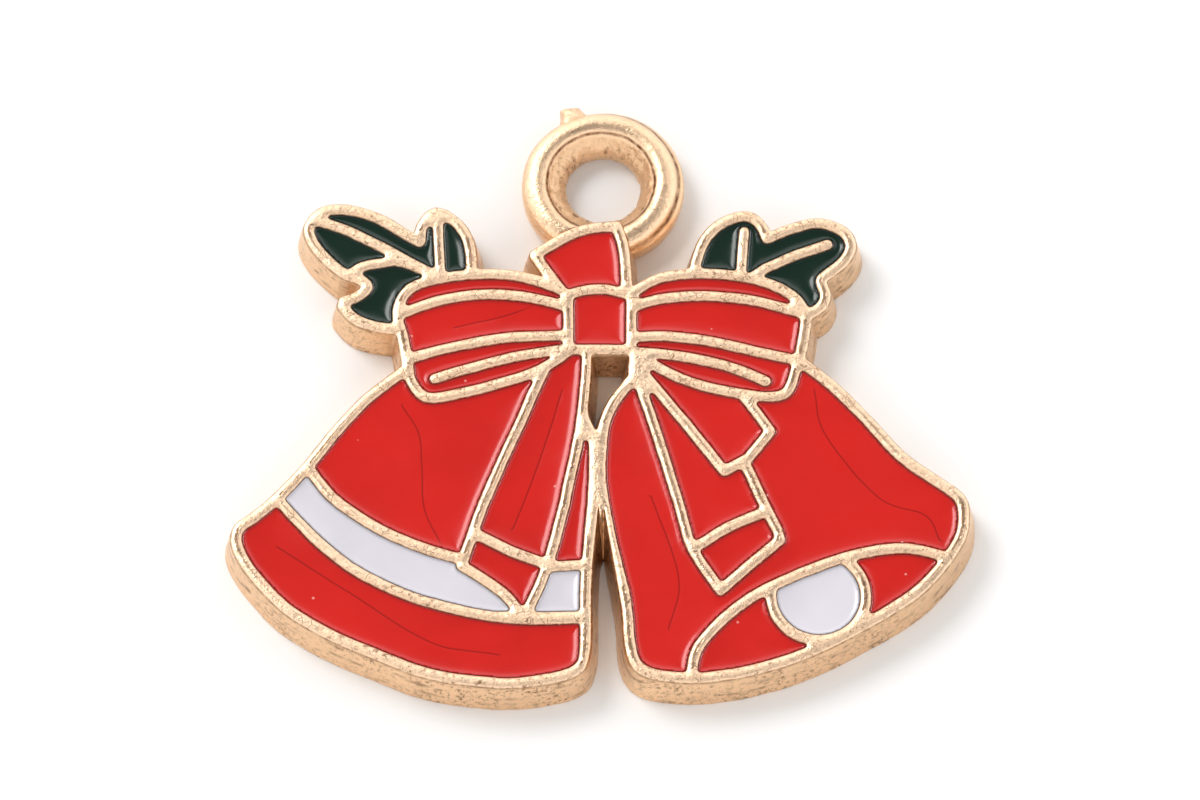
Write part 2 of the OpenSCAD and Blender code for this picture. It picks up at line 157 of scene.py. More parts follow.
class CharmLoopSettings(PropertyGroup):
    """Sizes of the hanging loop."""

    band: FloatProperty(
        name="Band",
        description="Width of the metal round the hole",
        default=1.33 * MM,
        min=0.9 * MM,
        max=1.35 * MM,
        unit="LENGTH",
        precision=6,
    )
    bevel: FloatProperty(
        name="Bevel",
        description="Width of the rough bevel at the front of the hole",
        default=0.5 * MM,
        min=0.2 * MM,
        max=0.6 * MM,
        unit="LENGTH",
        precision=6,
    )
    mismatch: FloatProperty(
        name="Mould mismatch",
        description="How far the front half of the loop sits beside its back half",
        default=0.07 * MM,
        min=0.0,
        max=0.12 * MM,
        unit="LENGTH",
        precision=6,
    )
    stub: FloatProperty(
        name="Gate stub",
        description="How far the snapped gate stands out of the loop",
        default=0.3 * MM,
        min=0.1 * MM,
        max=0.3 * MM,
        unit="LENGTH",
        precision=6,
    )


class CharmEnamelSettings(PropertyGroup):
    """Shape and colours of the enamel drops."""

    meniscus: FloatProperty(
        name="Meniscus",
        description="How far the enamel creeps up the ridges",
        default=0.05 * MM,
        min=0.0,
        max=0.09 * MM,
        unit="LENGTH",
        precision=6,
    )
    sag: FloatProperty(
        name="Sag",
        description="How far the middle of a drop sinks below its margin",
        default=0.08 * MM,
        min=0.0,
        max=0.12 * MM,
        unit="LENGTH",
        precision=6,
    )
    red: FloatVectorProperty(
        name="Red",
        description="Colour of the ribbon and the bells",
        default=(0.59, 0.013, 0.009),
        size=3,
        min=0.0,
        max=1.0,
        subtype="COLOR",
    )
    white: FloatVectorProperty(
        name="White",
        description="Colour of the band and the clapper",
        default=(0.68, 0.65, 0.70),
        size=3,
        min=0.0,
        max=1.0,
        subtype="COLOR",
    )
    green: FloatVectorProperty(
        name="Green",
        description="Colour of the holly leaves",
        default=(0.0025, 0.018, 0.010),
        size=3,
        min=0.0,
        max=1.0,
        subtype="COLOR",
    )


class CharmStageSettings(PropertyGroup):
    """Camera and light."""

    elevation: FloatProperty(
        name="Elevation",
        description="Height of the camera above the table",
        default=math.radians(66.0),
        min=math.radians(20.0),
        max=math.radians(90.0),
        subtype="ANGLE",
    )
    distance: FloatProperty(
        name="Distance",
        description="Distance from the camera to the charm",
        default=0.245,
        min=0.1,
        max=1.0,
        unit="LENGTH",
    )
    sky: FloatProperty(
        name="Tent walls",
        description="Strength of the even light from all around",
        default=1.5,
        min=0.0,
        max=3.0,
    )
    roof: FloatProperty(
        name="Tent roof",
        description="Strength of the light from straight above",
        default=0.25,
        min=0.0,
        max=3.0,
    )
    key: FloatProperty(
        name="Key light",
        description="Power of the large soft light in watts",
        default=0.5,
        min=0.0,
        max=50.0,
    )


# ---- Surfaces ----


def waves(a, b, cell, seed, wrap=None):
    """Smooth random field from -1 to 1: random numbers on a lattice of the given cell,
    joined by the smoothstep 3t^2 - 2t^3 in both directions. With wrap the first
    direction repeats after that length."""
    cell_a, cell_b = cell if np.ndim(cell) else (cell, cell)
    count = 512
    if wrap is not None:
        count = max(int(round(wrap / cell_a)), 3)
        cell_a = wrap / count
    lattice = np.random.default_rng(seed).uniform(-1, 1, (count, 512))
    a, b = np.asarray(a) / cell_a, np.asarray(b) / cell_b
    ia, ib = np.floor(a).astype(int), np.floor(b).astype(int)
    ta, tb = a - ia, b - ib
    ta, tb = ta * ta * (3 - 2 * ta), tb * tb * (3 - 2 * tb)
    i0, i1, j0, j1 = ia % count, (ia + 1) % count, ib % 512, (ib + 1) % 512
    low = lattice[i0, j0] * (1 - ta) + lattice[i1, j0] * ta
    high = lattice[i0, j1] * (1 - ta) + lattice[i1, j1] * ta
    return low * (1 - tb) + high * tb


def grain(a, b, cell, seed, wrap=None):
    """Three octaves of waves, each half as high and half as long as the last."""
    cell = np.array(cell if np.ndim(cell) else (cell, cell), float)
    return sum(
        waves(a, b, cell / 2**k, seed + k, wrap) / 2**k for k in range(3)
    ) / 1.75


NONE = np.empty((0, 2))


def outlines(node, z):
    """Closed outlines of the flat face that a CAD node has at height z, in millimetres.
    They are the edges that only one of its triangles has. Each point is led to the
    lowest-numbered point of its own outline by doubling its hops, and the number of
    hops puts the points in order."""
    mesh = frame["nodes"][node].data
    co = np.empty(len(mesh.vertices) * 3, np.float32)
    mesh.vertices.foreach_get("co", co)
    tri = np.empty(len(mesh.loops), np.int32)
    mesh.loops.foreach_get("vertex_index", tri)
    co, back = np.unique(
        np.round(co.reshape(-1, 3) / MM, 4), axis=0, return_inverse=True
    )
    tri = back.ravel()[tri].reshape(-1, 3)
    tri = tri[np.all(abs(co[tri, 2] - z) < 0.002, axis=1)]
    edge = np.concatenate([tri[:, [0, 1]], tri[:, [1, 2]], tri[:, [2, 0]]])
    size = len(co)
    edge = edge[
        ~np.isin(edge[:, 0] * size + edge[:, 1], edge[:, 1] * size + edge[:, 0])
    ]
    hop = np.arange(size)
    hop[edge[:, 0]] = edge[:, 1]
    lead, steps = np.arange(size), np.zeros(size, int)
    for k in range(size.bit_length()):
        nearer = lead[hop] < lead
        steps = np.where(nearer, steps[hop] + 2**k, steps)
        lead, hop = np.minimum(lead, lead[hop]), hop[hop]
    rim = edge[:, 0]
    rim = rim[np.lexsort((-steps[rim], lead[rim]))]
    cuts = np.flatnonzero(np.diff(lead[rim])) + 1
    return [co[part, :2] for part in np.split(rim, cuts)]


def even(loop, step):
    """The closed outline with points an even distance apart, close to step."""
    closed = np.vstack([loop, loop[:1]])
    run = np.concatenate([[0], np.cumsum(np.hypot(*np.diff(closed, axis=0).T))])
    count = max(int(round(run[-1] / step)), 12)
    at = np.arange(count) * run[-1] / count
    return np.stack([np.interp(at, run, closed[:, k]) for k in (0, 1)], axis=1)


def eased(loop, blur, step):
    """The closed outline with its corners eased: a Gaussian blur of that width along
    it, done on its waves, whose heights fall by exp(-(2 pi f blur)^2 / 2)."""
    fine = even(loop, 0.02)
    waves_in = np.fft.fft(fine[:, 0] + 1j * fine[:, 1])
    f = np.fft.fftfreq(len(fine), 0.02)
    eased_z = np.fft.ifft(waves_in * np.exp(-0.5 * (2 * np.pi * f * blur) ** 2))
    return even(np.stack([eased_z.real, eased_z.imag], axis=1), step)


def area(loop):
    """Area inside the outline, positive if it runs anticlockwise."""
    x, y = loop.T
    return 0.5 * np.sum(x * np.roll(y, -1) - y * np.roll(x, -1))


def outward(loop):
    """Unit normals to the right of the outline's own direction."""
    t = np.roll(loop, -1, axis=0) - np.roll(loop, 1, axis=0)
    return np.stack([t[:, 1], -t[:, 0]], axis=1) / np.hypot(*t.T)[:, None]


def nearest(points, targets):
    """Index of and distance to the nearest target for each point, from
    |p - q|^2 = |p|^2 + |q|^2 - 2 p.q for a block of points at a time."""
    index = np.empty(len(points), int)
    half = 0.5 * (targets**2).sum(1)
    for a in range(0, len(points), 4000):
        block = points[a : a + 4000]
        index[a : a + 4000] = np.argmin(half - block @ targets.T, axis=1)
    return index, np.hypot(*(points - targets[index]).T)


def hexes(loops, step):
    """Points on a triangular lattice over the outlines' box."""
    lo, hi = np.vstack(loops).min(0), np.vstack(loops).max(0)
    rows = np.arange(lo[1], hi[1], step * math.sqrt(3) / 2)
    x = np.arange(lo[0], hi[0] + step, step)
    shift = (np.arange(len(rows)) % 2) * step / 2
    return np.stack([x[None] + shift[:, None], rows[:, None] + 0 * x[None]], -1).reshape(
        -1, 2
    )


def filled(loops, loose=NONE):
    """Triangles of the region on the left of the closed outlines: a Delaunay net that
    keeps the outlines' edges and uses the loose points. A triangle on an outline's edge
    is in or out by the edge's direction, and its neighbours follow it. All face up."""
    starts = np.cumsum([0] + [len(p) for p in loops])
    rim = np.vstack(loops)
    edge = np.vstack(
        [
            np.stack([np.arange(a, b), np.roll(np.arange(a, b), -1)], axis=1)
            for a, b in zip(starts, starts[1:])
        ]
    )
    points = np.vstack([rim, loose])
    _, _, faces, origin, _, _ = delaunay_2d_cdt(
        [Vector(p) for p in points.tolist()], edge.tolist(), [], 0, 1e-7
    )
    source = np.array([o[0] if o else -1 for o in origin])
    tri = source[np.array(faces)]
    if tri.min() < 0:
        raise RuntimeError("outlines cross")
    size = len(points)
    ahead = edge[:, 0] * size + edge[:, 1]
    behind = edge[:, 1] * size + edge[:, 0]
    sides = np.stack([tri, np.roll(tri, -1, axis=1)], axis=2).reshape(-1, 2)
    key = sides[:, 0] * size + sides[:, 1]
    owner = np.repeat(np.arange(len(tri)), 3)
    state = np.zeros(len(tri), int)
    state[owner[np.isin(key, ahead)]] = 1
    state[owner[np.isin(key, behind)]] = -1
    free = ~np.isin(key, ahead) & ~np.isin(key, behind)
    low = np.minimum(sides[:, 0], sides[:, 1]) * size + sides.max(axis=1)
    order = np.flatnonzero(free)[np.argsort(low[free], kind="stable")]
    same = np.flatnonzero(low[order][1:] == low[order][:-1])
    one, two = owner[order[same]], owner[order[same + 1]]
    while True:
        to_two = (state[one] != 0) & (state[two] == 0)
        to_one = (state[two] != 0) & (state[one] == 0)
        if not (to_one.any() or to_two.any()):
            break
        state[two[to_two]] = state[one[to_two]]
        state[one[to_one]] = state[two[to_one]]
    return points, tri[state == 1]


def grid_faces(rows, count):
    """Triangles of a closed band of rows that each have count points. They face the
    right-hand side of the outline if the rows climb."""
    i, j = np.meshgrid(np.arange(rows - 1), np.arange(count), indexing="ij")
    k = (j + 1) % count
    a, b, c, d = i * count + j, i * count + k, (i + 1) * count + k, (i + 1) * count + j
    return np.concatenate(
        [np.stack([a, b, c], -1).reshape(-1, 3), np.stack([a, c, d], -1).reshape(-1, 3)]
    )


def swept(loop, normal, out, height):
    """A profile carried along the closed outline: row k stands out by out[k] along
    the normals at height[k]."""
    out, height = np.asarray(out, float), np.asarray(height, float)
    xy = loop[None] + out[:, None, None] * normal[None]
    z = np.broadcast_to(height[:, None, None], xy.shape[:2] + (1,))
    return np.concatenate([xy, z], axis=2).reshape(-1, 3), grid_faces(len(out), len(loop))


def wobble(xy):
    """The small unevenness of a hand-cut die: a smooth sideways shift of up to
    0.02 mm that all pieces share, so they keep fitting."""
    return xy + 0.02 * np.stack(
        [
            grain(xy[..., 0], xy[..., 1], 0.9, 11),
            grain(xy[..., 0], xy[..., 1], 0.9, 21),
        ],
        axis=-1,
    )


def joined(parts):
    """One net from several (points, triangles, values), with equal points merged and
    triangles that have lost a side left out. Values are a row for each point, or one."""
    starts = np.cumsum([0] + [len(p) for p, _, _ in parts])
    points = np.vstack([p for p, _, _ in parts])
    values = np.vstack([np.broadcast_to(v, (len(p), np.shape(v)[-1])) for p, _, v in parts])
    tri = np.vstack([t + s for (_, t, _), s in zip(parts, starts)])
    _, first, back = np.unique(
        np.round(points, 5), axis=0, return_index=True, return_inverse=True
    )
    tri = back.ravel()[tri]
    whole = (
        (tri[:, 0] != tri[:, 1]) & (tri[:, 1] != tri[:, 2]) & (tri[:, 2] != tri[:, 0])
    )
    return points[first], tri[whole], values[first]


def piece(name, points, tri, flat, values, finish, nodes):
    """Puts the net in a mesh, in metres, and ties the object to the frame. Flat is a
    mask of the triangles that aren't shaded smooth; values become point attributes."""
    mesh = bpy.data.meshes.new(name)
    mesh.vertices.add(len(points))
    mesh.vertices.foreach_set("co", (points * MM).astype(np.float32).ravel())
    mesh.loops.add(tri.size)
    mesh.loops.foreach_set("vertex_index", tri.astype(np.int32).ravel())
    mesh.polygons.add(len(tri))
    mesh.polygons.foreach_set("loop_start", np.arange(0, tri.size, 3, dtype=np.int32))
    mesh.update(calc_edges=True)
    mesh.polygons.foreach_set("use_smooth", ~flat)
    for key, value in values.items():
        mesh.attributes.new(key, "FLOAT", "POINT").data.foreach_set(
            "value", value.astype(np.float32)
        )
    if mesh.validate():
        raise RuntimeError(f"{name}: the net has faulty faces")
    obj = bpy.data.objects.new(name, mesh)
    bpy.context.scene.collection.objects.link(obj)
    mesh.materials.append(finish)
    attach(obj, "root")
    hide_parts(*nodes)
    return obj


# ---- Finishes ----


class Finish:
    """A material whose nodes are added one by one."""

    def __init__(self, name):
        self.material = bpy.data.materials.new(name)
        self.material.use_nodes = True
        self.tree = self.material.node_tree
        self.shader = self.tree.nodes["Principled BSDF"]

    def add(self, kind, inputs=(), **settings):
        """A node of that kind. Inputs are (socket, value or output) pairs."""
        node = self.tree.nodes.new(kind)
        for key, value in settings.items():
            setattr(node, key, value)
        self.feed(node, inputs)
        return node

    def feed(self, node, inputs):
        """Sets or links the node's inputs."""
        for socket, value in inputs:
            if isinstance(value, bpy.types.NodeSocket):
                self.tree.links.new(value, node.inputs[socket])
            else:
                node.inputs[socket].default_value = value

    def place(self):
        """Object coordinates in millimetres."""
        at = self.add("ShaderNodeTexCoord").outputs["Object"]
        return self.add(
            "ShaderNodeMapping", [("Vector", at), ("Scale", (1 / MM,) * 3)]
        ).outputs[0]

    def noise(self, at, scale, detail=2.0, rough=0.5, distortion=0.0):
        """A noise texture's height."""
        return self.add(
            "ShaderNodeTexNoise",
            [
                ("Vector", at),
                ("Scale", scale),
                ("Detail", detail),
                ("Roughness", rough),
                ("Distortion", distortion),
            ],
        ).outputs["Fac"]

    def step(self, value, low, high, to_low=0.0, to_high=1.0):
        """The value rescaled from low..high to to_low..to_high and clamped."""
        return self.add(
            "ShaderNodeMapRange",
            [
                ("Value", value),
                ("From Min", low),
                ("From Max", high),
                ("To Min", to_low),
                ("To Max", to_high),
            ],
        ).outputs[0]

    def math(self, how, a, b=0.0):
        """A Math node."""
        return self.add("ShaderNodeMath", [(0, a), (1, b)], operation=how).outputs[0]

    def mix(self, share, a, b):
        """A mix of two colours."""
        node = self.add("ShaderNodeMix", [(0, share)], data_type="RGBA")
        self.feed(node, [(6, a), (7, b)])
        return node.outputs[2]

    def bump(self, height, depth, normal=None):
        """A bump of that depth in metres."""
        inputs = [("Height", height), ("Distance", depth), ("Strength", 1.0)]
        if normal is not None:
            inputs.append(("Normal", normal))
        return self.add("ShaderNodeBump", inputs).outputs[0]


def colour(rgb, share=1.0):
    """The colour with an alpha, scaled by share."""
    return (*(min(c * share, 1.0) for c in rgb), 1.0)


def gold_plating():
    """Pale gold plating over a die casting: paler where it is burnished, brown in the grain and in
    scattered hair cracks, darker along creases and streaks, with painted shade along the pocket
    edges, in narrow gaps and at the wall's top edge and foot, and a painted dark line along the
    middle of ridges that run along Y."""
    made = bpy.data.materials.get("gold_plating")
    if made:
        return made
    plate = bpy.context.scene.charm_plate
    f = Finish("gold_plating")
    at = f.place()
    crease, crest, side, brushed = (
        f.add("ShaderNodeAttribute", attribute_name=name).outputs["Fac"]
        for name in METAL_VALUES
    )
    speckle = f.step(f.noise(at, 7.0, 4.0, 0.75), 0.51, 0.62)
    speckle = f.math("MULTIPLY", speckle, f.step(brushed, 0.0, 1.0, 0.12, 0.8))
    patches = f.step(f.noise(at, 0.9, 3.0, 0.5), 0.4, 0.62, 0.35, 1.0)
    cell = f.add(
        "ShaderNodeTexVoronoi",
        [("Vector", at), ("Scale", 3.0), ("Randomness", 1.0)],
        feature="DISTANCE_TO_EDGE",
    ).outputs["Distance"]
    crack = f.math(
        "MULTIPLY",
        f.step(cell, 0.01, 0.03, 0.75, 0.0),
        f.step(f.noise(at, 1.7, 1.0, 0.5), 0.53, 0.6),
    )
    crack = f.math("MULTIPLY", crack, f.step(side, 0.0, 1.0, 1.0, 0.15))
    ragged = f.step(f.noise(at, 5.0, 3.0, 0.6), 0.3, 0.62, 0.45, 1.0)
    # Painted shade: a dark line along the middle of ridges that run along Y, standing in for the
    # dark reflection between the two sides of a crest.
    line = f.math(
        "MULTIPLY",
        f.step(crest, 0.3, 0.65),
        f.step(f.noise(at, 1.2, 2.0, 0.5), 0.38, 0.5, 0.5, 0.75),
    )
    dark = f.math("MULTIPLY", speckle, patches)
    dark = f.math("MAXIMUM", dark, crack)
    dark = f.math("MAXIMUM", dark, line)
    # The darkness value mixes painted shade (pocket edges, narrow gaps, the wall's top edge and
    # foot) with dark streaks, pits and creases.
    dark = f.math("MAXIMUM", dark, f.math("MULTIPLY", crease, ragged))
    clean = f.mix(side, colour(plate.bright), colour(plate.side))
    tone = f.mix(
        f.step(f.noise(at, 0.6, 3.0, 0.6), 0.35, 0.65, 0.0, 0.25), clean, colour(plate.side)
    )
    height = f.math("SUBTRACT", f.noise(at, 13.0, 3.0, 0.6), f.math("MULTIPLY", dark, 0.6))
    rough = f.math(
        "ADD",
        f.step(f.noise(at, 6.0, 3.0, 0.6), 0.3, 0.7, 0.24, 0.4),
        f.math("MULTIPLY", brushed, 0.16),
    )
    f.feed(
        f.shader,
        [
            ("Base Color", f.mix(dark, tone, colour(plate.patina_and_shade))),
            ("Metallic", 1.0),
            ("Roughness", rough),
            ("Normal", f.bump(height, 0.018 * MM)),
        ],
    )
    return f.material


def enamel(name, rgb, deep, pale):
    """Cured enamel: clear gloss over an even pigment that is deeper along flow marks, with painted
    shade in a thin band along the pocket's edge, slight clouds and a few pale specks. The frame
    has flat materials with the plain names, so these have names of their own."""
    name += "_gloss"
    made = bpy.data.materials.get(name)
    if made:
        return made
    f = Finish(name)
    at = f.place()
    margin = f.add("ShaderNodeAttribute", attribute_name="margin").outputs["Fac"]
    flow = f.add("ShaderNodeAttribute", attribute_name="flow").outputs["Fac"]
    clouds = f.step(f.noise(at, 0.35, 3.0, 0.5, 0.6), 0.35, 0.65)
    body = f.mix(clouds, colour(rgb, 0.94), colour(rgb, 1.04))
    body = f.mix(f.math("MULTIPLY", flow, 0.75), body, deep)
    # Painted shade: the deep colour in a thin band along the pocket's edge stands in for the shade
    # where the enamel meets the ridge.
    body = f.mix(margin, body, deep)
    specks = f.add(
        "ShaderNodeTexVoronoi", [("Vector", at), ("Scale", 0.9)], feature="F1"
    ).outputs["Distance"]
    body = f.mix(f.step(specks, 0.03, 0.045, 0.55, 0.0), body, pale)
    f.feed(
        f.shader,
        [
            ("Base Color", body),
            ("Roughness", f.step(f.noise(at, 0.8, 2.0), 0.3, 0.7, 0.13, 0.2)),
            ("IOR", 1.5),
            ("Specular IOR Level", 0.5),
            ("Normal", f.bump(f.noise(at, 1.3, 2.0, 0.4), 0.004 * MM)),
        ],
    )
    return f.material


# ---- Cast plate ----


def pocket(node):
    """The edge of the pocket that holds a node's enamel, anticlockwise."""
    return eased(outlines(node, FILL_Z)[0], 0.03, 0.055)


def enamel_nodes():
    """Names of the CAD nodes of enamel."""
    return sorted(n for n in frame["nodes"] if n != "casting")


def walls():
    """For each edge of the plate, its points at the front, and for each of them the
    nearest point of the back edge: pairs of arrays, outer edge and gap."""
    backs = sorted(outlines("casting", 0.0), key=lambda p: -abs(area(p)))[:2]
    fronts = outlines("casting", PLATE_T)
    pairs = []
    for back in backs:
        dense = even(back, 0.01)
        front = min(
            fronts, key=lambda p: np.median(nearest(even(p, 0.2), dense)[1])
            + abs(abs(area(p)) - abs(area(back))) / abs(area(back))
        )
        front = eased(front, 0.04, 0.06)
        index, _ = nearest(front, dense)
        pairs.append((front, dense[index]))
    return pairs


def plate_side(front, back, plate):
    """The side wall: each row lies a share z / t of the way from the back edge to the
    front edge, drawn in at both ends to round them, and streaks along it go in and
    out with the waves field of its length and height."""
    z = np.array(
        [0, 0.012, 0.05, 0.14, 0.24, 0.34, 0.44, 0.54, 0.64, 0.74, 0.84, 0.94, 1.03,
         1.1, 1.16, 1.21, 1.243, 1.265]
    ) * PLATE_T / 1.3
    z = np.append(z, PLATE_T - CROWN)
    e = plate.edge_round / MM
    inset = np.zeros(len(z))
    inset[:3] = 0.07, 0.03, 0.0
    inset[-5:] = 0.0, 0.14 * e, 0.36 * e, 0.66 * e, e
    away = back - front
    far = np.hypot(*away.T)[:, None]
    away = np.where(far > 1e-6, away / np.maximum(far, 1e-6), outward(front))
    run = np.arange(len(front)) * 0.06
    length = len(front) * 0.06
    u, v = np.meshgrid(run, z, indexing="xy")
    deep = 0.7 * grain(u, v, (0.8, 0.12), 31, length) + 0.5 * grain(u, v, (0.3, 0.2), 41, length)
    deep = deep * (plate.strata / MM) * ((v > 0.03) & (v < z[-5] + 1e-6))
    share = (z / PLATE_T)[:, None, None]
    xy = back[None] * (1 - share) + front[None] * share
    xy = xy + away[None] * (deep - inset[:, None])[..., None]
    # Painted shade: a dark line on the rounding of the wall's top edge, and a painted contact
    # shadow at its foot.
    line = np.zeros(len(z))
    line[-5:-2] = 0.3, 0.9, 0.25
    line[0] = 0.3
    # Painted shade on the walls of gaps narrower than about 0.45 mm, where little light gets in.
    facing = nearest(front + 0.45 * outward(front), front)[1]
    gap_shade = np.clip((0.44 - facing) / 0.12, 0, 1)[None] * (v < z[-5])
    streak = np.clip(2.2 * grain(u, v, (0.45, 0.09), 51, length) - 0.55, 0, 0.8)
    streak = streak * ((v > 0.03) & (v < z[-5]))
    crease = np.maximum(np.maximum(line[:, None], streak), 0.3 * gap_shade)
    side = np.repeat(np.clip((z[-3] - z) / 0.06, 0, 1), len(front))
    rows = np.concatenate([xy, np.broadcast_to(z[:, None, None], xy.shape[:2] + (1,))], 2)
    values = np.column_stack([crease.ravel(), 0 * side, side])
    return rows.reshape(-1, 3), grid_faces(len(z), len(front)), values


def pocket_wall(edge, plate):
    """The wall of a pocket and the rounded shoulder of its ridge: a profile carried
    along the pocket's edge, then its floor."""
    s = plate.shoulder / MM
    out = np.array([0, 0, 0, 0.08, 0.28, 0.6, 1.0]) * s
    z = PLATE_T - np.array([0, 0.17, 0.13, 0.095, 0.065, 0.04, CROWN])
    z[0] = FLOOR_Z
    around = edge[::-1]
    points, tri = swept(around, outward(around), -out, z)
    # Painted shade: the shoulder rows where the ridge turns down into the pocket are darkened to
    # draw a shaded outline round the enamel; the hidden wall and floor are fully dark.
    crease = np.repeat([1.0, 1.0, 1.0, 1.0, 0.75, 0.1, 0.0], len(edge))
    values = np.column_stack([crease, 0 * crease, 0 * crease])
    floor, net = filled([edge])
    floor = np.column_stack([floor, np.full(len(floor), FLOOR_Z)])
    middle = around - HALF_RIDGE * outward(around)
    return [(points, tri, values), (floor, net, (1.0, 0.0, 0.0))], points[-len(edge) :, :2], middle


def relief(xy, plate):
    """Height of the worn grain on the ridge tops: fine grain, and dents where a wider
    field passes a threshold."""
    fine = grain(xy[:, 0], xy[:, 1], 0.22, 61)
    dent = np.clip(grain(xy[:, 0], xy[:, 1], 0.42, 71) - 0.32, 0, 0.4)
    nick = np.clip(waves(xy[:, 0], xy[:, 1], 0.2, 81) - 0.72, 0, 0.3)
    return plate.grain / MM * (fine - 2.5 * dent - 6.0 * nick)


def crest_points(rims, middles):
    """Points on the middle lines of the ridges: each pocket's edge moved out by half a
    ridge, where the next edge is as far away on the other side."""
    own = np.repeat(np.arange(len(middles)), [len(m) for m in middles])
    middles = np.vstack(middles)
    label = np.repeat(np.arange(len(rims)), [len(r) for r in rims])
    edge = np.vstack(rims)
    first = len(rims) - (own.max() + 1)
    keep = np.zeros(len(middles), bool)
    for k in range(own.max() + 1):
        mine = own == k
        other = edge[label != k + first]
        index, far = nearest(middles[mine], other)
        lower = label[label != k + first][index] < k + first
        keep[mine] = (abs(far - RIM_TO_CREST) < 0.025) & lower
    return middles[keep]


def upright(way):
    """How nearly a ridge runs along Y, 0 to 1, from the normals of its edge:
    1.7 |x| - 0.75, clamped."""
    return np.clip(1.7 * abs(way[:, 0]) - 0.75, 0, 1)


def plate_net(plate):
    """The closed net of the plate, with its darkness values (painted shade at pocket edges, in
    gaps and at the wall's edges, and dark streaks), crest values that carry the painted crest
    line, and side values.
    """
    parts, lows, tops, middles = [], [], [], []
    for front, back in walls():
        points, tri, values = plate_side(front, back, plate)
        parts.append((points, tri, values))
        lows.append(points[: len(front), :2])
        tops.append(points[-len(front) :, :2])
    for node in enamel_nodes():
        wall, rim, middle = pocket_wall(pocket(node), plate)
        parts.extend(wall)
        tops.append(rim)
        middles.append(middle)
    rim = np.vstack(tops)
    way = np.vstack([outward(p) for p in tops])
    crest = crest_points(tops, middles)
    loose = hexes(tops, 0.075)
    loose = loose[nearest(loose, crest)[1] > 0.05]
    loose = np.vstack([crest, loose])
    index, gap = nearest(loose, rim)
    inside = ((loose - rim[index]) * way[index]).sum(1) < 0
    top, net = filled(tops, loose[inside & (gap > 0.045)])
    index, gap = nearest(top, rim)
    gap = np.where(np.arange(len(top)) < len(rim), 0, gap)
    height = PLATE_T - CROWN * (1 - np.clip(gap / RIM_TO_CREST, 0, 1))
    # The painted dark crest line: crest points of ridges that run along Y.
    crest_shade = (nearest(top, crest)[1] < 1e-5) * upright(way[index])
    top_values = np.column_stack([0 * gap, crest_shade, 0 * gap])
    parts.append((np.column_stack([top, height]), net, top_values))
    base, net = filled(lows)
    # The underside gets the same painted contact shade as the wall's foot.
    parts.append(
        (np.column_stack([base, np.zeros(len(base))]), net[:, ::-1], (0.3, 0.0, 1.0))
    )
    points, tri, values = joined(parts)
    share = np.clip((points[:, 2] - PLATE_T + 0.05) / 0.03, 0, 1)
    points[:, 2] += share * relief(points[:, :2], plate)
    index, _ = nearest(points[:, :2], rim)
    brushed = 1 - upright(way[index])
    points[:, :2] = wobble(points[:, :2])
    return points, tri, np.column_stack([values, brushed])


class CHARM_OT_plate(Operator):
    """Build the cast plate with its ridges, pockets and drafted side wall"""

    bl_idname = "charm.plate"
    bl_label = "Cast plate"

    def execute(self, context):
        points, tri, values = plate_net(context.scene.charm_plate)
        piece(
            "cast_plate",
            points,
            tri,
            np.zeros(len(tri), bool),
            dict(zip(METAL_VALUES, values.T)),
            gold_plating(),
            ["casting"],
        )
        return {"FINISHED"}


# ---- Hanging loop ----


